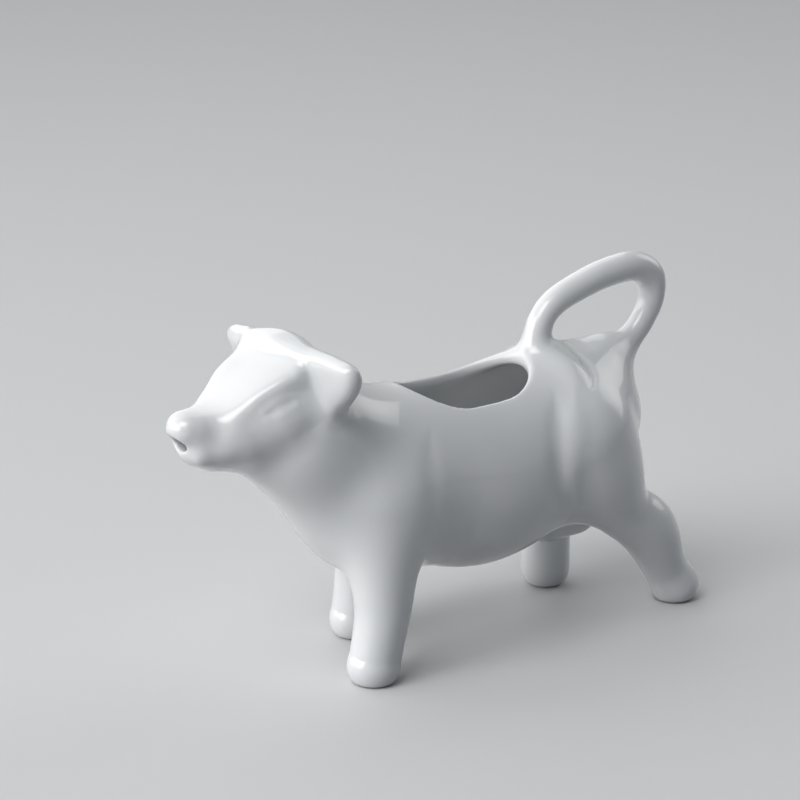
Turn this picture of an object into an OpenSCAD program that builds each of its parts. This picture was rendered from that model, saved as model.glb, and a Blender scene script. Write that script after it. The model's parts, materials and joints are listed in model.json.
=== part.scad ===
// Cow creamer: a small jug of white glazed porcelain in the shape of a walking cow.
// The back is open for filling, the mouth pours, and the tail is the handle.
// The nose points to -X, the tail to +X, the cow's left side to -Y, and the feet stand on z = 0.
// Each cast piece is a chain of round balls joined two by two, and a piece that is luted on
// ends exactly on the skin that carries it.

/* [Barrel] */
// Length from the shoulder centre to the rump centre
barrel_length = 63; // [56:1:72]
// Height of the barrel from belly to back
barrel_height = 49; // [44:1:55]
// Width of the barrel
barrel_width = 46; // [40:1:52]
// Height of the belly above the table
belly_height = 18; // [14:0.5:24]
// Distance of the shoulder centre ahead of the middle of the jug
shoulder_forward = 18.4; // [15:0.2:22]
// Thickness of the porcelain wall
wall = 3; // [2.25:0.25:3.75]

/* [Fill opening] */
// Length of the opening in the back, from its pointed front to its round end
opening_length = 37; // [30:1:40]
// Width of the opening at its widest
opening_width = 22.5; // [17:0.5:25]
// Distance of the opening's round end behind the shoulder centre
opening_end_back = 47.5; // [44:0.5:50]

/* [Neck and head] */
// Forward reach of the head centre from the shoulder centre
neck_reach = 26; // [22:0.5:30]
// Rise of the head centre above the shoulder centre
neck_rise = 33; // [29:0.5:37]
// Thickness of the neck at its root
neck_thickness = 36; // [31:1:40]
// Width of the skull
skull_width = 23; // [20:0.5:26]
// Length from the head centre to the muzzle centre
face_length = 16.5; // [13.5:0.5:20]
// Drop of the muzzle centre below the head centre
face_drop = 10.5; // [7.5:0.5:13]
// Width of the muzzle
muzzle_width = 17.2; // [15:0.2:20]
// Distance of the nose tip centre ahead of the muzzle centre
nose_reach = 7.2; // [5.4:0.2:8.4]

/* [Pouring mouth] */
// Width of the mouth hole
mouth_width = 7.2; // [6:0.2:8.4]
// Height of the mouth hole
mouth_height = 5.8; // [5:0.2:6.4]

/* [Ears] */
// Length of an ear from its root to its tip
ear_length = 21; // [17:0.5:24]
// Width of an ear across its leaf
ear_width = 14; // [11.5:0.5:16]
// Thickness of an ear
ear_thickness = 7; // [5:0.5:8.5]
// Distance by which the left ear sits behind the right one
ear_stagger = 2.5; // [0:0.5:5]
// Lean of the ear's top edge forward from upright, in degrees
ear_lean = 12; // [0:1:25]

/* [Legs] */
// Width of a foot
foot_width = 13; // [11:0.5:14.5]
// Distance between the left and right foot centres
stance_width = 27; // [24:0.5:30]
// Height of the shoulder joint above the table
shoulder_height = 45.5; // [41.5:0.5:49]
// Distance of the front legs' shoulder joints behind the shoulder centre, on average
shoulder_set_back = 3.5; // [1:0.5:6]
// Distance by which the left front foot stands ahead of its shoulder joint
left_front_lean = 5.5; // [2:0.5:9]
// Distance by which the right front foot stands ahead of its shoulder joint
right_front_lean = 4.5; // [2:0.5:9]
// Distance by which the left front leg steps ahead of the right one
front_stride = 12; // [6:1:16]
// Height of the hip joint above the table
hip_height = 50.5; // [46.5:0.5:54]
// Distance of the hip joints ahead of the rump centre
hip_set_forward = 9; // [6:0.5:12]
// Distance by which the left hind foot stands behind its hip joint
left_hind_reach = 31; // [26:1:35]
// Distance by which the right hind foot stands behind its hip joint
right_hind_reach = 10.5; // [6:0.5:15]

/* [Udder] */
// Length of the udder
udder_length = 20; // [16:1:24]
// Width of the udder
udder_width = 12.5; // [10:0.5:15]
// Height of the udder's middle above the table
udder_height = 24.5; // [22:0.5:27]

/* [Tail handle] */
// Thickness of the tail
tail_thickness = 7.2; // [6:0.2:9]
// Length of the tail loop along the jug
loop_length = 36; // [31:1:42]
// Height of the tail loop above its root
loop_height = 23.5; // [19.5:0.5:27]

/* [Hidden] */

// Facets round a ball of the barrel, the neck and the head
ball_facets = 30;
// Facets round a ball of the hollow, the legs, the udder, the ears and the tail
thin_facets = 22;
// Steps between two places of a table
chain_steps = 2;
// Overrun of a cut past the surface that it cuts
overrun = 1;
// Half of a space larger than the jug, for cuts by a plane
beyond = 3 * barrel_length;

barrel_radius = barrel_height / 2;
axis_height = belly_height + barrel_radius;
shoulder_x = -shoulder_forward;
rump_x = shoulder_x + barrel_length;
head_x = shoulder_x - neck_reach;
head_height = axis_height + neck_rise;
muzzle_x = head_x - face_length;
muzzle_height = head_height - face_drop;

// Tables of places. In a table of the barrel, a row holds the share of barrel_length behind
// the shoulder centre, the share of barrel_height above the axis, and the girth as a share
// of barrel_radius. The last row fills the seat between the thighs.
barrel_shares = [
    [0.00, 0.03, 0.83],
    [0.13, 0.05, 0.92],
    [0.30, 0.04, 0.96],
    [0.47, 0.01, 1.00],
    [0.66, 0.05, 0.96],
    [0.84, 0.10, 0.90],
    [1.01, 0.20, 0.68],
    [0.96, 0.00, 0.62],
];

// A row of the neck holds the share of neck_reach ahead of the shoulder centre, the share of
// neck_rise above the axis, and the girth as a share of half of neck_thickness.
neck_shares = [
    [0.09, 0.16, 1.03],
    [0.67, 0.52, 0.97],
    [0.80, 0.68, 0.88],
    [1.00, 0.90, 0.72],
];

// A row of the face holds the share of face_length ahead of the head centre, the share of
// face_drop below it, and the share of the way from the skull's girth to the muzzle's.
face_shares = [
    [0.00, 0.00, 0.00],
    [0.44, 0.33, 0.60],
    [1.00, 1.00, 1.00],
];

// The nose tip's rise above the muzzle centre, and its girth, as shares of half of
// muzzle_width.
nose_rise_share = 0.40;
nose_girth_share = 0.62;
// The mouth hole's drop below the muzzle centre, as a share of half of muzzle_width
mouth_drop_share = 0.05;

// A row of a front leg holds the share of the foot's lean ahead of the shoulder joint, the share
// of half of stance_width, the share of shoulder_height, and the girth as a share of half
// of foot_width.
front_leg_shares = [
    [0.00, 0.72, 1.00, 1.90],
    [0.35, 0.92, 0.70, 1.38],
    [0.50, 1.00, 0.40, 1.06],
    [0.88, 1.00, 0.15, 0.97],
    [1.00, 1.00, 0.09, 1.00],
];

// A row of a hind leg holds the share of the foot's reach behind the hip joint, the share of
// half of stance_width, the share of hip_height, and the girth as a share of half of
// foot_width. The left leg is stretched back, with its hock bent.
left_hind_shares = [
    [0.02, 0.78, 0.98, 2.15],
    [0.17, 0.88, 0.79, 1.90],
    [0.40, 1.00, 0.58, 1.21],
    [0.70, 1.00, 0.42, 1.17],
    [0.89, 1.00, 0.20, 0.88],
    [1.01, 1.00, 0.08, 0.98],
];
right_hind_shares = [
    [0.06, 0.78, 0.98, 2.15],
    [0.60, 0.88, 0.79, 1.80],
    [1.05, 1.00, 0.55, 1.30],
    [1.05, 1.00, 0.32, 0.94],
    [1.00, 1.00, 0.09, 0.98],
];

// A row of the udder holds the share of udder_length from its middle, and the girth as a
// share of half of udder_width.
udder_shares = [[-0.20, 1.00], [0.23, 0.98]];
// The udder's middle, as a share of barrel_length behind the shoulder centre
udder_place_share = 0.92;

// A row of the tail holds the share of loop_length behind the tail's root, the share of
// loop_height above it, and the girth as a share of half of tail_thickness.
tail_shares = [
    [0.10, -0.06, 2.20],
    [0.00, 0.30, 1.12],
    [0.03, 0.57, 0.92],
    [0.15, 0.75, 0.94],
    [0.36, 0.87, 0.98],
    [0.58, 0.95, 1.02],
    [0.83, 0.97, 1.05],
    [0.98, 0.83, 1.04],
    [1.00, 0.58, 0.93],
    [0.92, 0.34, 0.88],
    [0.80, 0.15, 1.05],
    [0.62, -0.02, 1.90],
];
// The tail's root, as a share of barrel_length behind the shoulder centre
tail_place_share = 0.80;
// The tail's root, as a share of barrel_radius above the axis
tail_rise_share = 0.84;

// An ear's root, as shares of half of skull_width: behind the head centre, to its side and
// above it
ear_root_shares = [0.20, 0.43, 0.50];
// A row of an ear holds the share of ear_length out from its root, the share of ear_length
// that it sweeps back, the share of ear_width that it hangs down, and the girth as a share of
// half of ear_width.
ear_shares = [
    [0.00, 0.00, 0.00, 0.77],
    [0.33, 0.03, 0.30, 1.06],
    [0.62, 0.08, 0.29, 0.84],
    [0.86, 0.10, 0.14, 0.40],
];

// The fill opening's front is a point with this radius, as a share of half of opening_width
opening_tip_share = 0.15;
// Radius of the opening's round end, as a share of half of opening_width
opening_end_share = 0.80;
// The widest place of the opening, as a share of opening_length ahead of its round end
opening_wide_share = 0.60;
// Widening of the opening for each unit of height above the back's inside
opening_flare_share = 0.10;
// Top of the cut above the axis, as a share of barrel_radius
opening_top_share = 1.18;

barrel_balls = [for (s = barrel_shares) [
    shoulder_x + s[0] * barrel_length,
    0,
    axis_height + s[1] * barrel_height,
    s[2] * barrel_radius]];

neck_balls = [for (s = neck_shares) [
    shoulder_x - s[0] * neck_reach,
    0,
    axis_height + s[1] * neck_rise,
    s[2] * neck_thickness / 2]];

face_balls = concat([for (s = face_shares) [
    head_x - s[0] * face_length,
    0,
    head_height - s[1] * face_drop,
    (skull_width + s[2] * (muzzle_width - skull_width)) / 2]],
    [[muzzle_x - nose_reach,
    0,
    muzzle_height + nose_rise_share * muzzle_width / 2,
    nose_girth_share * muzzle_width / 2]]);

function leg_balls(shares, top_x, reach, height, side) = [for (s = shares) [
    top_x + s[0] * reach,
    side * s[1] * stance_width / 2,
    s[2] * height,
    s[3] * foot_width / 2]];

udder_balls = [for (s = udder_shares) [
    shoulder_x + udder_place_share * barrel_length + s[0] * udder_length,
    0,
    udder_height,
    s[1] * udder_width / 2]];

tail_root_x = shoulder_x + tail_place_share * barrel_length;
tail_root_height = axis_height + tail_rise_share * barrel_radius;
tail_balls = [for (s = tail_shares) [
    tail_root_x + s[0] * loop_length,
    0,
    tail_root_height + s[1] * loop_height,
    s[2] * tail_thickness / 2]];

shoulder_joint_x = shoulder_x + shoulder_set_back;
hip_joint_x = rump_x - hip_set_forward;

// A curve that passes through every place of a table, with steps between them
function spline(a, b, c, d, t) =
    ((2 * b) + (c - a) * t + (2 * a - 5 * b + 4 * c - d) * t * t
    + (3 * b - a - 3 * c + d) * t * t * t) / 2;
function smooth_balls(p, steps = chain_steps) = let (last = len(p) - 1) concat(
    [for (i = [0 : last - 1], k = [0 : steps - 1]) spline(
        i > 0 ? p[i - 1] : 2 * p[0] - p[1],
        p[i],
        p[i + 1],
        i < last - 1 ? p[i + 2] : 2 * p[last] - p[last - 1],
        k / steps)],
    [p[last]]);
function thinner(balls, by) = [for (b = balls) [b[0], b[1], b[2], b[3] - by]];

module ball(b, facets)
{
    translate([b[0], b[1], b[2]])
        sphere(r = b[3], $fn = facets);
}

// Balls joined two by two
module chain(balls, facets = thin_facets)
{
    for (i = [0 : len(balls) - 2])
        hull() {
            ball(balls[i], facets);
            ball(balls[i + 1], facets);
        }
}

// The barrel is narrower than it is high
module barrel(by, facets)
{
    scale([1, (barrel_width / 2 - by) / (barrel_radius - by), 1])
        chain(thinner(smooth_balls(barrel_balls), by), facets);
}

module neck_and_head(by, facets)
{
    chain(thinner(smooth_balls(neck_balls), by), facets);
    chain(thinner(smooth_balls(face_balls), by), facets);
}

module skin()
{
    barrel(0, ball_facets);
    neck_and_head(0, ball_facets);
}

// The hollow runs from the barrel through the neck into the muzzle, and out at the mouth
module hollow()
{
    barrel(wall, thin_facets);
    neck_and_head(wall, thin_facets);
    mouth_bore();
}

module mouth_bore()
{
    translate([muzzle_x, 0, muzzle_height - mouth_drop_share * muzzle_width / 2])
        rotate([0, -90, 0])
            scale([mouth_height / mouth_width, 1, 1])
                cylinder(h = nose_reach + muzzle_width, d = mouth_width, $fn = ball_facets);
}

// Outline of the fill opening, grown by a margin
module opening_outline(by)
{
    end_x = shoulder_x + opening_end_back;
    half = opening_width / 2;
    wide_x = end_x - opening_wide_share * opening_length;
    end_radius = opening_end_share * half;
    tip = opening_tip_share * half;
    hull() {
        translate([end_x - end_radius, 0])
            circle(r = end_radius + by, $fn = ball_facets);
        translate([wide_x, 0])
            circle(r = half + by, $fn = ball_facets);
        translate([end_x - opening_length + tip, 0])
            circle(r = tip + by, $fn = ball_facets);
    }
}

// The cut that opens the back, from the hollow upwards, wider at the top
module opening_cut()
{
    low = axis_height + barrel_radius - 2 * wall;
    high = axis_height + opening_top_share * barrel_radius;
    hull() {
        translate([0, 0, axis_height])
            linear_extrude(height = low - axis_height)
                opening_outline(0);
        translate([0, 0, high])
            linear_extrude(height = overrun)
                opening_outline(opening_flare_share * (high - low));
    }
}

// Everything ahead of the joint between the neck and the head
module ahead_of_neck_joint()
{
    translate([head_x, 0, head_height - face_drop / 2])
        rotate([0, -atan2(neck_reach, neck_rise), 0])
            translate([-beyond, -beyond, 0])
                cube([2 * beyond, 2 * beyond, beyond]);
}

module above_table(side = 0)
{
    translate([-beyond, side > 0 ? 0 : -beyond, 0])
        cube([2 * beyond, side == 0 ? 2 * beyond : beyond, beyond]);
}

module body()
{
    color("ghostwhite")
        difference() {
            skin();
            ahead_of_neck_joint();
            hollow();
            opening_cut();
        }
}

module head()
{
    color("white")
        difference() {
            intersection() {
                skin();
                ahead_of_neck_joint();
            }
            hollow();
        }
}

module ear(side)
{
    root = ear_root_shares * skull_width / 2;
    flatness = ear_thickness / ear_width;
    balls = [for (s = ear_shares) [
        s[1] * ear_length / flatness,
        s[0] * ear_length,
        -s[2] * ear_width,
        s[3] * ear_width / 2]];
    color("snow")
        difference() {
            translate([head_x + root[0] - side * ear_stagger / 2, side * root[1],
                head_height + root[2]])
                rotate([0, -ear_lean, 0])
                    scale([flatness, side, 1])
                        chain(smooth_balls(balls));
            skin();
        }
}

module leg(shares, top_x, reach, height, side)
{
    difference() {
        intersection() {
            chain(smooth_balls(leg_balls(shares, top_x, reach, height, side)));
            above_table(side);
        }
        skin();
        opening_cut();
    }
}

module leg_front_left()
{
    color("whitesmoke")
        leg(front_leg_shares, shoulder_joint_x - front_stride / 2, -left_front_lean,
            shoulder_height, -1);
}

module leg_front_right()
{
    color("whitesmoke")
        leg(front_leg_shares, shoulder_joint_x + front_stride / 2, -right_front_lean,
            shoulder_height, 1);
}

module leg_hind_left()
{
    color("whitesmoke")
        leg(left_hind_shares, hip_joint_x, left_hind_reach, hip_height, -1);
}

module leg_hind_right()
{
    color("whitesmoke")
        leg(right_hind_shares, hip_joint_x, right_hind_reach, hip_height, 1);
}

module hind_leg_chains()
{
    chain(smooth_balls(leg_balls(left_hind_shares, hip_joint_x, left_hind_reach,
        hip_height, -1)));
    chain(smooth_balls(leg_balls(right_hind_shares, hip_joint_x, right_hind_reach,
        hip_height, 1)));
}

module udder()
{
    color("white")
        difference() {
            chain(udder_balls);
            skin();
            hind_leg_chains();
        }
}

module tail_handle()
{
    color("white")
        difference() {
            chain(smooth_balls(tail_balls));
            skin();
            hind_leg_chains();
            opening_cut();
        }
}

body();
head();
ear(-1);  // ear_left
ear(1);  // ear_right
leg_front_left();
leg_front_right();
leg_hind_left();
leg_hind_right();
udder();
tail_handle();
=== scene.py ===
# A cow creamer of white glazed porcelain, standing on a plain pale floor.
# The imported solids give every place. Here the same forms flow into one another, as they do on the
# fired jug, and carry the face, the folds of the body and the glaze.
import json
import math

import bpy
import numpy as np
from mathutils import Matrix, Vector


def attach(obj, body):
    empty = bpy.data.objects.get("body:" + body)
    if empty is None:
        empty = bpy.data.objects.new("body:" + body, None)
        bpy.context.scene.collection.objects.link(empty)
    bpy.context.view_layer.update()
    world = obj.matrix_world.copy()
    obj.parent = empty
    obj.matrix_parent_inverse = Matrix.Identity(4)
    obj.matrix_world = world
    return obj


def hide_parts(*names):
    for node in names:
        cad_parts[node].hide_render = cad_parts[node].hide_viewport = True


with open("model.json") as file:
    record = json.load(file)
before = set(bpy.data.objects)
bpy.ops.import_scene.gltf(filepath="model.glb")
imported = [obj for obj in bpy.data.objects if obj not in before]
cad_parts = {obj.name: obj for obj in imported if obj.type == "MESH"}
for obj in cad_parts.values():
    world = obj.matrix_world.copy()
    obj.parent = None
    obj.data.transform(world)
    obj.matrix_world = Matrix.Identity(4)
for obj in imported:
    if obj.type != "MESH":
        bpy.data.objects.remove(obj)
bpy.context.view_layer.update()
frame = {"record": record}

MM = 0.001

# The jug's sizes in millimetres, as in the part's source.
WALL = 3.0
BARREL_LENGTH, BARREL_HEIGHT, BARREL_WIDTH, BELLY_HEIGHT = 63.0, 49.0, 46.0, 18.0
SHOULDER_FORWARD = 18.4
NECK_REACH, NECK_RISE, NECK_THICKNESS = 26.0, 33.0, 36.0
SKULL_WIDTH, FACE_LENGTH, FACE_DROP = 23.0, 16.5, 10.5
MUZZLE_WIDTH, NOSE_REACH = 17.2, 7.2
EAR_THICKNESS, EAR_LEAN = 7.0, 12.0
FOOT_WIDTH, STANCE_WIDTH = 13.0, 27.0
SHOULDER_HEIGHT, SHOULDER_SET_BACK, FRONT_STRIDE = 45.5, 3.5, 12.0
LEFT_FRONT_LEAN, RIGHT_FRONT_LEAN = 5.5, 4.5
HIP_HEIGHT, HIP_SET_FORWARD, LEFT_HIND_REACH, RIGHT_HIND_REACH = 50.5, 9.0, 31.0, 10.5
UDDER_LENGTH, UDDER_WIDTH, UDDER_HEIGHT = 20.0, 12.5, 24.5
TAIL_THICKNESS, LOOP_LENGTH, LOOP_HEIGHT = 7.2, 36.0, 23.5

# Places that follow from them.
AXIS_HEIGHT = BELLY_HEIGHT + BARREL_HEIGHT / 2
SHOULDER_X = -SHOULDER_FORWARD
HEAD_X, HEAD_HEIGHT = SHOULDER_X - NECK_REACH, AXIS_HEIGHT + NECK_RISE
SHOULDER_JOINT_X = SHOULDER_X + SHOULDER_SET_BACK
RUMP_X = SHOULDER_X + BARREL_LENGTH
HIP_JOINT_X = RUMP_X - HIP_SET_FORWARD

# How softly each form flows into the rest: the width of the fillet's reach, in millimetres.
NECK_BLEND, RIM_BLEND, FOOT_BLEND = 12.0, 2.0, 2.0
POLL_BLEND, THROAT_BLEND, NOSE_BLEND, CHEEK_BLEND, BROW_BLEND, LIP_BLEND = 3.0, 13.0, 6.0, 4.0, 5.0, 4.0
BLENDS = {"leg_front_left": 9.0, "leg_front_right": 9.0, "leg_hind_left": 9.0, "leg_hind_right": 9.0,
          "udder": 4.0, "tail_handle": 7.0}
EAR_BLEND, FAR_EAR_BLEND, FAR_EAR_SPAN, EAR_ROOT_BLEND = 4.5, 6.0, 10.0, 4.0
OPENING_BLEND, MOUTH_BLEND = 2.5, 1.5

# The wide fillet of the throat: the height where it has faded out, and how far the fading takes.
THROAT_TOP, THROAT_FADE, THROAT_HALF_WIDTH = 72.0, 10.0, 10.0

NODES = ["body", "head", "ear_left", "ear_right", "leg_front_left", "leg_front_right",
         "leg_hind_left", "leg_hind_right", "udder", "tail_handle"]

# A curve has this many balls between two given ones. Beyond this distance a form needs no exact place.
CURVE_STEPS = 8
NEAR = 14.0


def curve(rows):
    """Balls (x, y, z, radius) close together on a smooth curve through the given ones."""
    p = np.array(rows, float)
    if len(p) == 2:
        t = np.linspace(0, 1, 3 * CURVE_STEPS)[:, None]
        return p[0] * (1 - t) + p[1] * t
    q = np.vstack([2 * p[0] - p[1], p, 2 * p[-1] - p[-2]])
    balls = []
    for a, b, c, d in zip(q[:-3], q[1:-2], q[2:-1], q[3:]):
        for t in np.arange(CURVE_STEPS) / CURVE_STEPS:
            balls.append((2 * b + (c - a) * t + (2 * a - 5 * b + 4 * c - d) * t * t
                          + (3 * b - a - 3 * c + d) * t ** 3) / 2)
    return np.array(balls + [p[-1]])


# Shares along the length, up from the axis in heights, and girth, chosen as in the source.
BARREL_SHARES = [(0.00, 0.03, 0.83), (0.13, 0.05, 0.92), (0.30, 0.04, 0.96), (0.47, 0.01, 1.00),
                 (0.66, 0.05, 0.96), (0.84, 0.10, 0.90), (1.01, 0.20, 0.68)]
SEAT_SHARES = [(1.01, 0.20, 0.68), (0.96, 0.00, 0.62)]
NECK_SHARES = [(0.09, 0.16, 1.03), (0.67, 0.52, 0.97), (0.80, 0.68, 0.88), (1.00, 0.90, 0.72)]
FACE_SHARES = [(0.00, 0.00, 0.00), (0.44, 0.33, 0.60), (1.00, 1.00, 1.00)]
NOSE_RISE_SHARE, NOSE_GIRTH_SHARE = 0.40, 0.62


def barrel_balls(shares):
    return curve([(SHOULDER_X + s * BARREL_LENGTH, 0, AXIS_HEIGHT + u * BARREL_HEIGHT,
                   g * BARREL_HEIGHT / 2) for s, u, g in shares])


BARREL, SEAT = barrel_balls(BARREL_SHARES), barrel_balls(SEAT_SHARES)
NECK = curve([(SHOULDER_X - s * NECK_REACH, 0, AXIS_HEIGHT + u * NECK_RISE,
               g * NECK_THICKNESS / 2) for s, u, g in NECK_SHARES])
FACE = curve([(HEAD_X - s * FACE_LENGTH, 0, HEAD_HEIGHT - u * FACE_DROP,
               (SKULL_WIDTH + g * (MUZZLE_WIDTH - SKULL_WIDTH)) / 2) for s, u, g in FACE_SHARES])
NOSE = curve([FACE[-1], (HEAD_X - FACE_LENGTH - NOSE_REACH, 0,
                         HEAD_HEIGHT - FACE_DROP + NOSE_RISE_SHARE * MUZZLE_WIDTH / 2,
                         NOSE_GIRTH_SHARE * MUZZLE_WIDTH / 2)])
# The nose takes over from the face before the face's last balls.
FACE_BEFORE_NOSE = FACE[:-3]

# Forms of the left side of the face, which the right side has too.
CHEEK = curve([(-54.5, -3.2, 66.0, 8.4), (-47.5, -4.5, 69.0, 10.0)])
BROW = curve([(-46.0, -9.4, 79.2, 3.0), (-52.8, -7.2, 75.8, 2.8), (-58.8, -4.6, 72.2, 2.8),
              (-65.0, -2.0, 69.8, 3.0)])
LIP = curve([(-67.6, 0, 62.3, 2.3), (-66.6, -3.4, 62.6, 2.3)])

# The flat top of the face: the forehead's height, its slope and its curve ahead of a place, the bridge of
# the nose, a slight crown across both, and the softness of the edge all round, which is wider at the nose.
FOREHEAD_X, FOREHEAD_Z, FOREHEAD_SLOPE = -46.0, 82.8, 0.5
FOREHEAD_CURVE_X, FOREHEAD_CURVE = -48.0, 0.011
BRIDGE_X, BRIDGE_Z, BRIDGE_SLOPE, BRIDGE_BLEND = -66.0, 72.7, 0.15, 4.0
CROWNING, TOP_STEEPNESS = 0.008, 0.89
TOP_EDGE, NOSE_EDGE_MORE, NOSE_EDGE_X, NOSE_EDGE_SPAN = 2.5, 2.5, -56.0, 8.0

# Lines of the folds: (x, y, z, radius), where a negative radius fades the fold out.
# The eye is a shallow almond between two soft lids.
UPPER_LID = curve([(-54.8, -11.3, 72.7, 0), (-51.2, -11.8, 74.9, 0), (-47.8, -12.2, 75.3, 0)])
LOWER_LID = curve([(-53.8, -11.9, 71.2, 0), (-50.5, -12.8, 71.6, 0), (-47.2, -13.0, 73.5, 0)])
EYE = curve([(-53.2, -11.7, 72.2, 0), (-50.6, -12.2, 73.4, 0), (-48.4, -12.4, 74.2, 0)])
HIP = curve([(32.5, -3.0, 70.0, -2.0), (34.0, -9.0, 67.5, 0), (33.0, -14.0, 64.5, -2.0)])
HIP_CREASE = curve([(37.6, -2.0, 71.0, -0.7), (39.2, -8.3, 67.9, 0), (38.8, -13.0, 65.4, 0),
                    (36.3, -16.6, 63.4, -0.7)])
THIGH_EDGE = curve([(31.0, -16.4, 63.2, -3.0), (28.0, -20.6, 57.3, 0), (26.1, -22.8, 48.2, 0),
                    (26.6, -22.4, 42.6, -0.5), (29.6, -20.3, 35.1, -3.0)])
THIGH_GROOVE = curve([(26.0, -14.8, 63.2, -2.5), (23.2, -19.6, 57.0, 0), (21.8, -22.2, 48.8, 0),
                      (22.3, -21.9, 39.6, 0), (25.0, -19.8, 33.3, -2.5)])
SHOULDER_GROOVE = curve([(-11.4, -15.7, 61.2, -2.5), (-14.3, -19.9, 55.6, 0), (-15.5, -22.7, 47.8, 0),
                         (-14.0, -22.0, 37.0, -2.5)])
NECK_FRONT = curve([(-53.5, 0, 54.0, -1.5), (-47.5, 0, 46.5, 0), (-41.5, 0, 38.0, 0),
                    (-36.5, 0, 30.5, -1.5)])

# Folds of both sides: their line, their width, and how far they rise. A groove has a negative rise.
FOLDS = [(HIP, 4.0, 0.9), (HIP_CREASE, 1.2, -0.8), (THIGH_EDGE, 3.0, 0.55), (THIGH_GROOVE, 2.5, -0.55),
         (UPPER_LID, 1.0, 0.14), (LOWER_LID, 1.0, 0.14), (EYE, 1.3, -0.16)]
SHOULDER_FOLD = (SHOULDER_GROOVE, 2.5, -0.35)
# The front of the neck is drawn back along a line, over a width that is greater across the cow.
NECK_FRONT_FOLD, NECK_FRONT_WIDENING = (NECK_FRONT, 5.5, -1.1), [1, 0.35, 1]

# Soft swellings: their middle, their reach along x, y and z, and how far they rise. A dent is negative.
SWELLINGS_OF_BOTH_SIDES = [
    ((-46.0, -12.5, 79.0), (4.0, 4.0, 4.5), -0.3),   # the temple under the ear
    ((-51.0, -13.0, 74.5), (5.0, 4.0, 4.0), -0.5),   # the hollow around the eye
    ((-50.9, -12.3, 73.2), (1.7, 2.0, 1.2), 0.16),   # the eyeball
    ((-65.3, -7.4, 68.6), (3.6, 3.0, 4.5), -0.7),    # the side of the nose
    ((-69.0, -5.0, 62.5), (2.5, 2.5, 2.5), 0.3),     # the corner of the lip
    ((-61.5, -4.0, 57.5), (5.5, 7.0, 4.0), -0.7),    # the lower jaw
    ((-54.2, 0.0, 54.6), (5.0, 9.0, 5.0), 0.7),      # the throat
]
OTHER_SWELLINGS = [
    ((-53.0, 8.5, 77.8), (6.0, 4.0, 4.0), 0.7),      # the right side of the forehead
    ((-40.5, -8.0, 87.0), (5.0, 8.0, 4.0), -0.6),    # the left side of the poll
    ((57.0, -9.5, 58.5), (9.0, 9.0, 9.0), -1.5),     # the rump on the left of the tail's end
    ((57.0, 9.5, 58.5), (9.0, 9.0, 9.0), -1.5),      # the rump on the right of it
]

# Legs: shares of the reach from the joint, of half the stance, of the joint's height and of the foot.
FRONT_SHARES = [(0.00, 0.72, 1.00, 1.90), (0.35, 0.92, 0.70, 1.38), (0.50, 1.00, 0.40, 1.06),
                (0.88, 1.00, 0.15, 0.97), (1.00, 1.00, 0.09, 1.00)]
LEFT_HIND_SHARES = [(0.02, 0.78, 0.98, 2.15), (0.17, 0.88, 0.79, 1.90), (0.40, 1.00, 0.58, 1.21),
                    (0.70, 1.00, 0.42, 1.17), (0.89, 1.00, 0.20, 0.88), (1.01, 1.00, 0.08, 0.98)]
RIGHT_HIND_SHARES = [(0.06, 0.78, 0.98, 2.15), (0.60, 0.88, 0.79, 1.80), (1.05, 1.00, 0.55, 1.30),
                     (1.05, 1.00, 0.32, 0.94), (1.00, 1.00, 0.09, 0.98)]


def leg_balls(shares, joint_x, reach, height, side):
    return curve([(joint_x + a * reach, side * b * STANCE_WIDTH / 2, c * height, d * FOOT_WIDTH / 2)
                  for a, b, c, d in shares])


LEGS = {
    "leg_front_left": leg_balls(FRONT_SHARES, SHOULDER_JOINT_X - FRONT_STRIDE / 2, -LEFT_FRONT_LEAN,
                                SHOULDER_HEIGHT, -1),
    "leg_front_right": leg_balls(FRONT_SHARES, SHOULDER_JOINT_X + FRONT_STRIDE / 2, -RIGHT_FRONT_LEAN,
                                 SHOULDER_HEIGHT, 1),
    "leg_hind_left": leg_balls(LEFT_HIND_SHARES, HIP_JOINT_X, LEFT_HIND_REACH, HIP_HEIGHT, -1),
    "leg_hind_right": leg_balls(RIGHT_HIND_SHARES, HIP_JOINT_X, RIGHT_HIND_REACH, HIP_HEIGHT, 1),
}

UDDER_SHARES, UDDER_PLACE_SHARE = [(-0.20, 1.00), (0.23, 0.98)], 0.92
UDDER = curve([(SHOULDER_X + UDDER_PLACE_SHARE * BARREL_LENGTH + a * UDDER_LENGTH, 0, UDDER_HEIGHT,
                g * UDDER_WIDTH / 2) for a, g in UDDER_SHARES])

TAIL_SHARES = [(0.10, -0.06, 2.20), (0.00, 0.30, 1.12), (0.03, 0.57, 0.92), (0.15, 0.75, 0.94),
               (0.36, 0.87, 0.98), (0.58, 0.95, 1.02), (0.83, 0.97, 1.05), (0.98, 0.83, 1.04),
               (1.00, 0.58, 0.93), (0.92, 0.34, 0.88), (0.80, 0.15, 1.05), (0.62, -0.02, 1.90)]
TAIL_PLACE_SHARE, TAIL_RISE_SHARE = 0.80, 0.84
TAIL_X = SHOULDER_X + TAIL_PLACE_SHARE * BARREL_LENGTH
TAIL_Z = AXIS_HEIGHT + TAIL_RISE_SHARE * BARREL_HEIGHT / 2
TAIL = curve([(TAIL_X + a * LOOP_LENGTH, 0, TAIL_Z + u * LOOP_HEIGHT, g * TAIL_THICKNESS / 2)
              for a, u, g in TAIL_SHARES])

# Ears and poll are one thick plate: its middle's place, how far the left side stands behind the right
# and over what width it turns, and how it sweeps back and rolls.
EARS_X, EARS_Z, EARS_TURN, EARS_TURN_SPAN, EAR_SWEEP, EAR_ROLL = -41.7, 81.0, 0.8, 7.0, 0.11, 0.04
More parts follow.
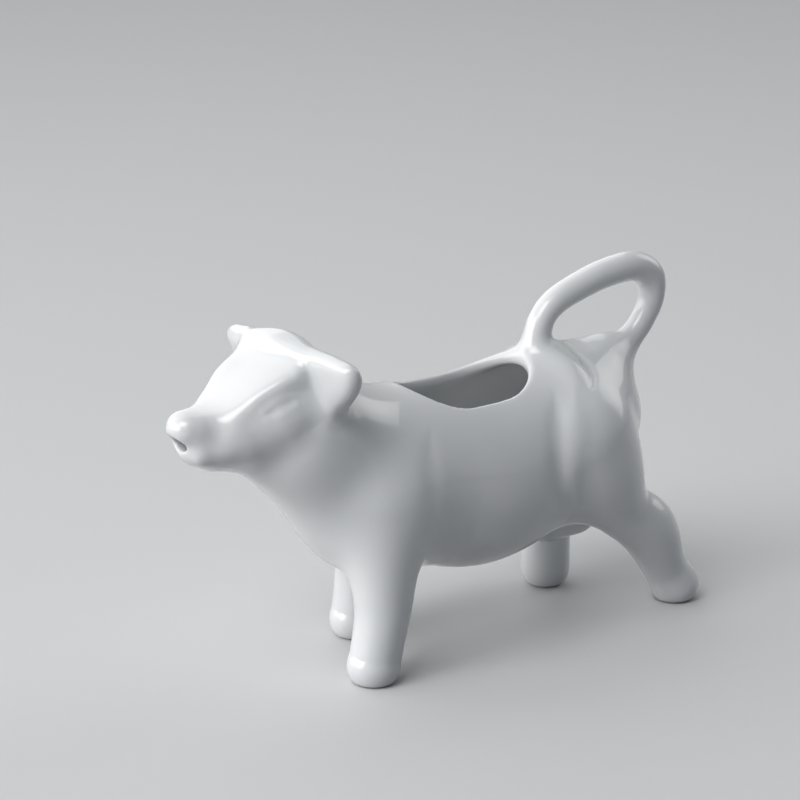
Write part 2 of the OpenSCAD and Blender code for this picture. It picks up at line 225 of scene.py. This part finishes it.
# The plate's top, its fall towards the tips, the tips, and its thinning beyond the poll.
POLL_TOP, EAR_FALL, EAR_TIP, POLL_HALF_WIDTH, EAR_THINNING = 87.0, 0.145, 26.0, 5.0, 0.1
# Its lower edges: a place across and up, and the way out of the edge there.
EAR_LOWER_EDGE, EAR_INNER_EDGE = (20.0, 72.5, 0.655, -0.755), (11.0, 68.8, -0.63, -0.77)
EAR_ROUNDING, EAR_MIDDLE_ROUNDING, EAR_STEEPNESS = 5.0, 1.0, 0.9
# The right ear's root swells forward into the forehead.
EAR_ROOT = curve([(-45.0, 5.0, 79.6, 2.8), (-43.6, 10.5, 80.2, 2.7), (-41.9, 17.0, 80.4, 2.0),
                  (-40.3, 24.0, 80.0, 0.8)])

# The opening in the back is an oval between two circles: where it starts and ends, and their radii.
OPENING_FRONT_X, OPENING_BACK_X, OPENING_FRONT_RADIUS, OPENING_BACK_RADIUS = -8.5, 25.5, 12.3, 12.0
OPENING_FLARE_SHARE = 0.10
MOUTH_Z, MOUTH_HALF_WIDTH, MOUTH_HALF_HEIGHT = 65.3, 2.6, 1.8

# The plane where the head is luted to the neck, and how far from the middle the ears begin.
NECK_JOINT_SLOPE = (-0.619, 0.7855)
EARS_START = 4.5
FAR = 1e3

# The grid in millimetres, along x, y and z: its start, where its spacing changes, its end, and the spacing
# up to there and beyond. Blocks of cells that no porcelain comes near are skipped.
GRID = [(-77.0, -44.0, 77.0, 0.5, 0.75), (-29.0, 0.0, 29.0, 0.6, 0.6), (-2.5, 56.0, 91.5, 0.75, 0.5)]
BLOCK, BLOCK_MARGIN, SKIPPED = 4, 1.0, 9.0
CORNERS = [(i & 1, i >> 1 & 1, i >> 2) for i in range(8)]
TETRAHEDRON = np.array([(1, 1, 1), (1, -1, -1), (-1, 1, -1), (-1, -1, 1)], float)
# How far around a point the field is felt for its place, its normal and the pooling of the glaze.
PLACE_REACH, NORMAL_REACH, POOL_REACH = 0.05, 0.12, 0.9
LONGEST_SHIFT, LEAST_STEEPNESS, TINY = 0.5, 0.3, 1e-9
POINTS_AT_ONCE = 200000


def smooth_min(a, b, k):
    """The lesser of two distances, with a fillet where they differ by less than k."""
    h = np.maximum(k - np.abs(a - b), 0) / k
    return np.minimum(a, b) - h ** 3 * k / 6


def smooth_max(a, b, k):
    return -smooth_min(-a, -b, k)


def ease(t):
    """From 0 to 1 without a corner at either end."""
    t = np.clip(t, 0, 1)
    return t * t * (3 - 2 * t)


def swept(p, balls):
    """Distance to the skin over a curve of balls. Far away, the distance to its box will do."""
    low = (balls[:, :3] - balls[:, 3:]).min(0)
    high = (balls[:, :3] + balls[:, 3:]).max(0)
    out = np.sqrt((np.maximum(np.maximum(low - p, p - high), 0) ** 2).sum(1))
    near = np.flatnonzero(out < NEAR)
    q = p[near]
    best, which = np.full(len(q), np.inf), np.zeros(len(q), int)
    for i, b in enumerate(balls):
        d = np.sqrt((q[:, 0] - b[0]) ** 2 + (q[:, 1] - b[1]) ** 2 + (q[:, 2] - b[2]) ** 2) - b[3]
        better = d < best
        best[better] = d[better]
        which[better] = i
    i = np.clip(which, 1, len(balls) - 2)

    def reach(b):
        return np.sqrt(((q - b[:, :3]) ** 2).sum(1)) - b[:, 3]
    a, b, c = balls[i - 1], balls[i], balls[i + 1]
    da, db, dc = reach(a), reach(b), reach(c)
    bend = da - 2 * db + dc
    t = np.clip((da - dc) / (2 * np.maximum(bend, TINY)), -1, 1)[:, None]
    out[near] = reach(a * t * (t - 1) / 2 + b * (1 - t * t) + c * t * (t + 1) / 2)
    return out


def ears(p):
    """Both ears and the ridge of the poll between them, as one plate with round edges."""
    out = np.sqrt(p[:, 1] ** 2 + EAR_MIDDLE_ROUNDING ** 2)
    up = p[:, 2] + EAR_ROLL * p[:, 1]
    turn = EARS_TURN * np.tanh(p[:, 1] / EARS_TURN_SPAN)
    lean = math.tan(math.radians(EAR_LEAN))
    middle = EARS_X - turn + EAR_SWEEP * (out - POLL_HALF_WIDTH) - lean * (p[:, 2] - EARS_Z)
    edge = up - POLL_TOP + EAR_FALL * out
    for y, z, ny, nz in (EAR_LOWER_EDGE, EAR_INNER_EDGE):
        edge = smooth_max(edge, ny * (out - y) + nz * (up - z), EAR_ROUNDING)
    edge = smooth_max(edge, out - EAR_TIP, EAR_ROUNDING)
    half = (EAR_THICKNESS - EAR_THINNING * (out - POLL_HALF_WIDTH)) / 2
    plate = smooth_max(edge, np.abs(p[:, 0] - middle) - half, EAR_ROUNDING) * EAR_STEEPNESS
    return smooth_min(plate, swept(p, EAR_ROOT), EAR_ROOT_BLEND)


def teardrop(x, y, xa, ra, xb, rb):
    """Distance in the plane to the hull of two circles on the x axis."""
    length = xb - xa
    lean = (ra - rb) / length
    rise = math.sqrt(1 - lean * lean)
    x, y = x - xa, np.abs(y)
    k = rise * x - lean * y
    d = rise * y + lean * x - ra
    d = np.where(k < 0, np.hypot(x, y) - ra, d)
    return np.where(k > rise * length, np.hypot(x - length, y) - rb, d)


def left_side(p):
    """The same place on the cow's left side, for forms that both sides have."""
    return np.stack([p[:, 0], -np.abs(p[:, 1]), p[:, 2]], 1)


def face_top(p):
    """Distance above the flat forehead and the bridge of the nose, and the softness of their edge."""
    x = p[:, 0]
    forehead = (FOREHEAD_Z + FOREHEAD_SLOPE * (x - FOREHEAD_X)
                - FOREHEAD_CURVE * np.minimum(x - FOREHEAD_CURVE_X, 0) ** 2)
    bridge = BRIDGE_Z + BRIDGE_SLOPE * np.maximum(BRIDGE_X - x, 0)
    top = smooth_max(forehead, bridge, BRIDGE_BLEND) - CROWNING * p[:, 1] ** 2
    edge = TOP_EDGE + NOSE_EDGE_MORE * np.clip((NOSE_EDGE_X - x) / NOSE_EDGE_SPAN, 0, 1)
    return (p[:, 2] - top) * TOP_STEEPNESS, edge


def forms(p):
    """Distances to the pieces, and to the skin of barrel, neck and face together."""
    wide, q = p * [1, BARREL_HEIGHT / BARREL_WIDTH, 1], left_side(p)
    barrel = smooth_min(swept(wide, BARREL), swept(wide, SEAT), RIM_BLEND)
    face = smooth_min(swept(p, FACE_BEFORE_NOSE), swept(p, NOSE), NOSE_BLEND)
    for form, blend in ((CHEEK, CHEEK_BLEND), (BROW, BROW_BLEND), (LIP, LIP_BLEND)):
        face = smooth_min(face, swept(q, form), blend)
    low = ease((THROAT_TOP - p[:, 2]) / THROAT_FADE) * np.exp(-(p[:, 1] / THROAT_HALF_WIDTH) ** 2)
    throat = POLL_BLEND + (THROAT_BLEND - POLL_BLEND) * low
    skin = smooth_min(smooth_min(barrel, swept(p, NECK), NECK_BLEND), face, throat)
    skin = smooth_max(skin, *face_top(p))
    d = {"skin": skin, "udder": swept(p, UDDER), "tail_handle": swept(p, TAIL), "ears": ears(p)}
    for name, balls in LEGS.items():
        d[name] = swept(p, balls)
    return d


def opening(p):
    """The oval opening in the back, a little wider at its top."""
    x, y, z = p.T
    d = teardrop(x, y, OPENING_FRONT_X + OPENING_FRONT_RADIUS, OPENING_FRONT_RADIUS,
                 OPENING_BACK_X - OPENING_BACK_RADIUS, OPENING_BACK_RADIUS)
    low = AXIS_HEIGHT + BARREL_HEIGHT / 2 - 2 * WALL
    flared = d - OPENING_FLARE_SHARE * np.clip(z - low, 0, 3 * WALL)
    return np.maximum(flared, AXIS_HEIGHT - z)


def mouth(p):
    """The pouring hole, an oval tube through the muzzle, rounded small by the glaze at the lips."""
    x, y, z = p.T
    across, up = y / MOUTH_HALF_WIDTH, (z - MOUTH_Z) / MOUTH_HALF_HEIGHT
    d = (np.sqrt(across ** 2 + up ** 2) - 1) * MOUTH_HALF_HEIGHT
    return np.maximum(d, x - (HEAD_X - FACE_LENGTH))


def swelling(p, centre, size, lift):
    """A soft swelling of the skin, or a dent where lift is negative."""
    return lift * np.exp(-(((p - centre) / size) ** 2).sum(1))


def ridge(p, line, width, lift):
    """A soft fold along a line, or a groove where lift is negative."""
    return lift * np.exp(-(swept(p, line) / width) ** 2)


def details(p):
    """How far the folds and swellings lift the skin."""
    q = left_side(p)
    lift = sum(swelling(q, *row) for row in SWELLINGS_OF_BOTH_SIDES)
    lift += sum(swelling(p, *row) for row in OTHER_SWELLINGS)
    lift += sum(ridge(q, *row) for row in FOLDS)
    stride = np.stack([np.where(p[:, 1] > 0, FRONT_STRIDE, 0), 0 * p[:, 1], 0 * p[:, 1]], 1)
    lift += ridge(q - stride, *SHOULDER_FOLD)
    return lift + ridge(p * NECK_FRONT_WIDENING, *NECK_FRONT_FOLD)


def outside(p, d):
    """Distance to the whole jug's outer skin."""
    f = d["skin"]
    for name, k in BLENDS.items():
        f = smooth_min(f, d[name], k)
    soft = EAR_BLEND + (FAR_EAR_BLEND - EAR_BLEND) * np.clip(p[:, 1] / FAR_EAR_SPAN, 0, 1)
    return smooth_min(f, d["ears"], soft) - details(p)


def field(p):
    """Negative inside the porcelain and close to a distance near its surface. Also the pieces'."""
    d = forms(p)
    f = smooth_max(outside(p, d), -p[:, 2], FOOT_BLEND)
    hollow = smooth_min(smooth_min(d["skin"] + WALL, opening(p), OPENING_BLEND), mouth(p), MOUTH_BLEND)
    return smooth_max(f, -hollow, RIM_BLEND), d


def owners(p, d):
    """The number, from 1, of the node that each point of the porcelain belongs to."""
    along, rise = NECK_JOINT_SLOPE
    ahead = along * (p[:, 0] - HEAD_X) + rise * (p[:, 2] - HEAD_HEIGHT + FACE_DROP / 2) > 0
    skin, ear = d["skin"], np.where(np.abs(p[:, 1]) > EARS_START, d["ears"], FAR)
    right = p[:, 1] > 0
    keys = np.stack([np.where(ahead, FAR, skin), np.where(ahead, skin, FAR),
                     np.where(right, FAR, ear), np.where(right, ear, FAR)] + [d[n] for n in NODES[4:]], 1)
    for left_leg in (4, 6):
        keys[right, left_leg] = FAR
        keys[~right, left_leg + 1] = FAR
    # A leg owns what the udder and the tail share with it, and body and head own what lies in their skin.
    keys[keys[:, 4:8].min(1) < 0, 8:] = FAR
    keys[skin <= 0, 2:] = FAR
    return keys.argmin(1) + 1


def slope(p, reach):
    """The field and its slope at each point, from four places around it."""
    values, slopes = [], []
    for q in np.array_split(p, max(1, len(p) // POINTS_AT_ONCE)):
        f = [field(q + reach * t)[0] for t in TETRAHEDRON]
        values.append(sum(f) / 4)
        slopes.append(sum(v[:, None] * t for v, t in zip(f, TETRAHEDRON)) / (4 * reach))
    return np.concatenate(values), np.concatenate(slopes)


def at_corner(grid, corner):
    """The grid's values at one corner of each of its cells."""
    n = [size - 1 for size in grid.shape]
    return grid[corner[0]:corner[0] + n[0], corner[1]:corner[1] + n[1], corner[2]:corner[2] + n[2]]


def graded(low, turn, high, first, second):
    """Grid lines with one spacing up to the turn and another beyond it, in whole blocks."""
    near = low + first * np.arange(math.ceil((turn - low) / first))
    rest = near[-1] + first + second * np.arange(math.ceil((high - turn) / second) + BLOCK)
    lines = np.concatenate([near, rest])
    return lines[:(len(lines) - 1) // BLOCK * BLOCK + 1]


def sample(lines):
    """The field and its owners on a grid, worked out only where the porcelain may be."""
    rough = np.stack(np.meshgrid(*[line[::BLOCK] for line in lines], indexing="ij"), -1)
    far = field(rough.reshape(-1, 3))[0].reshape(rough.shape[:3])
    widest = max(np.diff(line).max() for line in lines)
    busy = np.min([at_corner(far, c) for c in CORNERS], 0) < widest * BLOCK + BLOCK_MARGIN
    for axis in range(3):
        busy = np.repeat(busy, BLOCK, axis)
    wanted = np.zeros(np.array(busy.shape) + 1, bool)
    for a, b, c in CORNERS:
        wanted[a:a + busy.shape[0], b:b + busy.shape[1], c:c + busy.shape[2]] |= busy
    where = np.argwhere(wanted)
    value, owner = np.full(wanted.shape, SKIPPED), np.zeros(wanted.shape, np.int8)
    for part in np.array_split(where, max(1, len(where) // POINTS_AT_ONCE)):
        p = np.stack([line[i] for line, i in zip(lines, part.T)], 1)
        f, d = field(p)
        value[tuple(part.T)] = f
        owner[tuple(part.T)] = np.where(f < 0, owners(p, d), 0)
    return value, owner


def cell_points(active, value, owner, lines):
    """The middle of the places where each active cell's edges cross the surface, and which touch air."""
    labels = np.stack([at_corner(owner, c)[active] for c in CORNERS], -1)
    values = np.stack([at_corner(value, c)[active] for c in CORNERS], -1)
    place = np.argwhere(active)
    skin = (labels == 0).any(1)
    total, count = np.zeros((len(place), 3)), np.zeros(len(place))
    for a in range(8):
        for axis in range(3):
            b = a | 1 << axis
            if b == a:
                continue
            air = (labels[:, a] == 0) != (labels[:, b] == 0)
            cross = np.where(skin, air, labels[:, a] != labels[:, b])
            gap = values[:, a] - values[:, b]
            t = np.where(air, values[:, a] / np.where(gap == 0, 1, gap), 0.5)
            total[cross] += (np.array(CORNERS[a], float) + t[:, None] * np.eye(3)[axis])[cross]
            count[cross] += 1
    index = place + total / np.maximum(count, 1)[:, None]
    points = np.stack([np.interp(i, np.arange(len(line)), line) for i, line in zip(index.T, lines)], 1)
    return points, np.flatnonzero(skin)


def net_points(value, owner, lines):
    """One point in each cell that two owners share, laid on the surface where air is one of them."""
    labels = np.stack([at_corner(owner, c) for c in CORNERS], -1)
    active = labels.min(-1) != labels.max(-1)
    number = np.full(active.shape, -1)
    number[active] = np.arange(active.sum())
    start, s = cell_points(active, value, owner, lines)
    points, normals, pools = start.copy(), np.zeros_like(start), np.zeros(len(start))
    for _ in range(2):
        f, g = slope(points[s], PLACE_REACH)
        points[s] -= (f / np.maximum((g ** 2).sum(1), LEAST_STEEPNESS))[:, None] * g
        shift = points[s] - start[s]
        size = np.sqrt((shift ** 2).sum(1))[:, None]
        points[s] = start[s] + shift * np.minimum(1, LONGEST_SHIFT / np.maximum(size, TINY))
    g = slope(points[s], NORMAL_REACH)[1]
    normals[s] = g / np.sqrt((g ** 2).sum(1))[:, None]
    hollow = -slope(points[s], POOL_REACH)[0] / (0.5 * POOL_REACH ** 2)
    pools[s] = np.clip(hollow, 0, 1)
    return points, normals, pools, number


def nets(coarseness):
    """A closed net of four-sided faces for each node. Neighbours share their seams exactly."""
    lines = [graded(start, turn, end, first * coarseness, second * coarseness)
             for start, turn, end, first, second in GRID]
    value, owner = sample(lines)
    points, normals, pools, number = net_points(value, owner, lines)
    found = {k: [] for k in range(1, len(NODES) + 1)}
    for axis in range(3):
        lower, upper = [[slice(1, n - 1) for n in owner.shape] for _ in range(2)]
        lower[axis], upper[axis] = slice(0, owner.shape[axis] - 1), slice(1, owner.shape[axis])
        one, two = owner[tuple(lower)], owner[tuple(upper)]
        edge = np.argwhere(one != two)
        u, v = (axis + 1) % 3, (axis + 2) % 3
        quad = []
        for du, dv in ((0, 0), (1, 0), (1, 1), (0, 1)):
            c = edge.copy()
            c[:, u] += du
            c[:, v] += dv
            quad.append(number[tuple(c.T)])
        quad = np.stack(quad, 1)
        first, second = one[one != two], two[one != two]
        for k in found:
            mine, turned = quad[first == k], quad[second == k][:, ::-1]
            other = np.concatenate([second[first == k], first[second == k]])
            found[k].append((np.vstack([mine, turned]), other > 0))
    result = {}
    for k, name in enumerate(NODES, 1):
        quads = np.vstack([q for q, _ in found[k]])
        seam = np.concatenate([s for _, s in found[k]])
        used, index = np.unique(quads, return_inverse=True)
        result[name] = (points[used], normals[used], pools[used], index.reshape(quads.shape), seam)
    return result


def make_piece(name, points, normals, pools, quads, seam):
    """A mesh object from a node's net. Seams inside the porcelain are cut along their deeper diagonal."""
    mesh = bpy.data.meshes.new(name + "_porcelain")
    mesh.vertices.add(len(points))
    mesh.vertices.foreach_set("co", (points * MM).astype(np.float32).ravel())
    skin, cap = quads[~seam], quads[seam]
    on_skin = ((normals ** 2).sum(1) > 0).astype(int)
    turn = on_skin[cap[:, 0]] + on_skin[cap[:, 2]] > on_skin[cap[:, 1]] + on_skin[cap[:, 3]]
    cap[turn] = np.roll(cap[turn], 1, 1)
    caps = np.vstack([cap[:, [0, 1, 2]], cap[:, [0, 2, 3]]])
    corners = np.concatenate([skin.ravel(), caps.ravel()])
    starts = np.concatenate([np.arange(0, skin.size, 4), skin.size + np.arange(0, caps.size, 3)])
    mesh.loops.add(len(corners))
    mesh.loops.foreach_set("vertex_index", corners.astype(np.int32))
    mesh.polygons.add(len(starts))
    mesh.polygons.foreach_set("loop_start", starts.astype(np.int32))
    mesh.polygons.foreach_set("use_smooth", np.arange(len(starts)) < len(skin))
    mesh.update(calc_edges=True)
    mesh.attributes.new("pool", "FLOAT", "POINT").data.foreach_set("value", pools.astype(np.float32))
    corner = normals[corners]
    corner[skin.size:] = 0
    mesh.normals_split_custom_set(corner.tolist())
    piece = bpy.data.objects.new(name + "_porcelain", mesh)
    bpy.context.scene.collection.objects.link(piece)
    return piece


def links(tree):
    """A short way to add a node with its settings and join its inputs."""
    def add(kind, inputs=None, **settings):
        node = tree.nodes.new(kind)
        for key, value in settings.items():
            setattr(node, key, value)
        for key, value in (inputs or {}).items():
            if isinstance(value, bpy.types.NodeSocket):
                tree.links.new(value, node.inputs[key])
            else:
                node.inputs[key].default_value = value
        return node
    return add


# Colours: the white porcelain, the same under thick glaze, and the bare rim under the feet.
PORCELAIN = (0.86, 0.868, 0.878, 1)
POOLED = (0.70, 0.75, 0.75, 1)
BISCUIT = (0.80, 0.77, 0.72, 1)
FOOT_SLOT, FOOT_RIM = "glaze_legs", 0.5 * MM
# How much of the pooled colour the folds and the clouding take at most, and the depth of the waves.
THICKEST, CLOUDING = 0.8, 0.12
WAVE_DEPTH, WAVE_STRENGTH = 0.6 * MM, 0.10
GLAZED_ROUGHNESS, BARE_ROUGHNESS, COAT_ROUGHNESS, GLASS_IOR = 0.32, 0.85, 0.04, 1.5


def glaze(name):
    """White porcelain under a clear glossy glaze, thicker and cooler where it pooled in the folds.

    Only the legs reach the floor, where the glaze is wiped off.
    """
    material = bpy.data.materials.new(name)
    material.use_nodes = True
    tree = material.node_tree
    tree.nodes.clear()
    add = links(tree)

    def ramp(value, low, high, start, end):
        inputs = {"Value": value, "From Min": low, "From Max": high, "To Min": start, "To Max": end}
        return add("ShaderNodeMapRange", inputs).outputs["Result"]
    place = add("ShaderNodeTexCoord").outputs["Object"]
    cloud = add("ShaderNodeTexNoise", {"Vector": place, "Scale": 55.0, "Detail": 3.0})
    pool = add("ShaderNodeAttribute", attribute_name="pool", attribute_type="GEOMETRY").outputs["Fac"]
    thick = ramp(pool, 0.06, 0.7, 0.0, THICKEST)
    tone = ramp(cloud.outputs["Fac"], 0.3, 0.7, 0.0, CLOUDING)
    shade = add("ShaderNodeMath", {0: thick, 1: tone}, operation="ADD", use_clamp=True).outputs[0]
    colour = add("ShaderNodeMix", {"Factor": shade, "A": PORCELAIN, "B": POOLED}, data_type="RGBA")
    rough, coat = GLAZED_ROUGHNESS, 1.0
    if name == FOOT_SLOT:
        height = add("ShaderNodeSeparateXYZ", {"Vector": place}).outputs["Z"]
        under = ramp(height, FOOT_RIM * 0.6, FOOT_RIM, 1.0, 0.0)
        colour = add("ShaderNodeMix", {"Factor": under, "A": colour.outputs["Result"], "B": BISCUIT},
                     data_type="RGBA")
        rough, coat = ramp(under, 0.0, 1.0, rough, BARE_ROUGHNESS), ramp(under, 0.0, 1.0, coat, 0.0)
    wave = add("ShaderNodeTexNoise", {"Vector": place, "Scale": 140.0, "Detail": 1.0})
    bump = add("ShaderNodeBump", {"Height": wave.outputs["Fac"], "Strength": WAVE_STRENGTH,
                                  "Distance": WAVE_DEPTH}).outputs["Normal"]
    shader = add("ShaderNodeBsdfPrincipled", {
        "Base Color": colour.outputs["Result"], "Roughness": rough, "IOR": GLASS_IOR,
        "Coat Weight": coat, "Coat Roughness": COAT_ROUGHNESS, "Coat IOR": GLASS_IOR,
        "Normal": bump, "Coat Normal": bump})
    add("ShaderNodeOutputMaterial", {"Surface": shader.outputs["BSDF"]})
    return material


def dress(coarseness):
    """One porcelain piece for each node, in the finish that the record names."""
    slots = {part["node"]: part["material_slot"] for part in frame["record"]["subparts"]}
    materials = {name: glaze(name) for name in sorted(set(slots.values()))}
    for name, net in nets(coarseness).items():
        piece = make_piece(name, *net)
        piece.data.materials.append(materials[slots[name]])
        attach(piece, "root")
        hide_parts(name)


CAMERA_TARGET = Vector((-9.25, 0, 64.0)) * MM
CAMERA_DISTANCE, CAMERA_AZIMUTH, CAMERA_ELEVATION = 721 * MM, -35.0, 18.3
CAMERA_LENS, SENSOR = 135.45, 36.0
CLIP_START, CLIP_END = 0.05, 20


def make_camera():
    data = bpy.data.cameras.new("camera")
    data.sensor_width, data.lens = SENSOR, CAMERA_LENS
    data.clip_start, data.clip_end = CLIP_START, CLIP_END
    camera = bpy.data.objects.new("camera", data)
    a, e = math.radians(CAMERA_AZIMUTH), math.radians(CAMERA_ELEVATION)
    back = Vector((math.sin(a) * math.cos(e), -math.cos(a) * math.cos(e), math.sin(e)))
    camera.location = CAMERA_TARGET + back * CAMERA_DISTANCE
    camera.rotation_mode = "QUATERNION"
    camera.rotation_quaternion = (-back).to_track_quat("-Z", "Y")
    bpy.context.scene.collection.objects.link(camera)
    bpy.context.scene.camera = camera


# Lamps: the way to each from the jug, its distance and its side in metres, its watts, and its spread in
# degrees. A narrow spread spares the floor beside the jug.
LAMPS = {
    "front": ((-0.95, 0.10, 0.30), 1.8, 1.1, 3.1, 70),
    "high": ((-0.60, -0.20, 0.77), 1.8, 1.1, 2.45, 70),
    "side": ((-0.75, 0.65, 0.22), 1.8, 1.1, 1.45, 70),
    "back": ((0.05, 0.80, 0.55), 2.6, 3.5, 27.0, 180),
    "rear": ((0.90, 0.05, 0.43), 1.8, 1.1, 0.8, 70),
}
LAMP_AIM = Vector((0, 0, 0.045))


def make_lamp(name, direction, distance, size, power, spread):
    """A soft square lamp that faces the jug from a direction."""
    data = bpy.data.lights.new(name, "AREA")
    data.shape, data.size, data.energy, data.spread = "SQUARE", size, power, math.radians(spread)
    lamp = bpy.data.objects.new(name, data)
    way = Vector(direction).normalized()
    lamp.location = LAMP_AIM + way * distance
    lamp.rotation_mode = "QUATERNION"
    lamp.rotation_quaternion = way.to_track_quat("Z", "Y")
    lamp.visible_camera = False
    bpy.context.scene.collection.objects.link(lamp)


# The floor and the backdrop as they are seen, and as they light the jug.
FLOOR_COLOUR, FLOOR_BOUNCE = (0.74, 0.745, 0.75, 1), (0.20, 0.205, 0.215, 1)
BACKDROP, SKY_GLOW = (0.50, 0.51, 0.52, 1), (0.098, 0.109, 0.12, 1)
FLOOR_RADIUS, FLOOR_RINGS, FLOOR_SIDES, FLOOR_ROUGHNESS = 3.0, 6, 48, 0.7


def seen_directly(add):
    """1 where the camera or a reflection sees the surface, and 0 where it only lights the jug."""
    path = add("ShaderNodeLightPath")
    return add("ShaderNodeMath", {0: path.outputs["Is Camera Ray"], 1: path.outputs["Is Glossy Ray"]},
               operation="ADD", use_clamp=True).outputs[0]


def make_floor():
    """A plain pale floor, wide enough for every view."""
    material = bpy.data.materials.new("floor")
    material.use_nodes = True
    tree = material.node_tree
    shader = tree.nodes["Principled BSDF"]
    add = links(tree)
    pale = add("ShaderNodeMix", {"Factor": seen_directly(add), "A": FLOOR_BOUNCE, "B": FLOOR_COLOUR},
               data_type="RGBA")
    tree.links.new(pale.outputs["Result"], shader.inputs["Base Color"])
    shader.inputs["Roughness"].default_value = FLOOR_ROUGHNESS
    places, faces = [], [list(range(FLOOR_SIDES))]
    for r in range(FLOOR_RINGS):
        radius = FLOOR_RADIUS * (r + 1) / FLOOR_RINGS
        for i in range(FLOOR_SIDES):
            turn, j = 2 * math.pi * i / FLOOR_SIDES, (i + 1) % FLOOR_SIDES
            places.append((radius * math.cos(turn), radius * math.sin(turn), 0))
            if r > 0:
                inner, outer = (r - 1) * FLOOR_SIDES, r * FLOOR_SIDES
                faces.append([inner + i, outer + i, outer + j, inner + j])
    mesh = bpy.data.meshes.new("floor")
    mesh.from_pydata(places, [], faces)
    mesh.materials.append(material)
    floor = bpy.data.objects.new("floor", mesh)
    bpy.context.scene.collection.objects.link(floor)


def make_world():
    """A pale backdrop to look at, and a faint even glow on the jug."""
    world = bpy.data.worlds.new("studio")
    bpy.context.scene.world = world
    world.use_nodes = True
    tree = world.node_tree
    add = links(tree)
    colour = add("ShaderNodeMix", {"Factor": seen_directly(add), "A": SKY_GLOW, "B": BACKDROP},
                 data_type="RGBA")
    tree.links.new(colour.outputs["Result"], tree.nodes["Background"].inputs["Color"])


make_camera()
make_world()
make_floor()
for lamp_name, settings in LAMPS.items():
    make_lamp(lamp_name, *settings)
dress(1.0)

bpy.context.scene.view_settings.view_transform = "Standard"
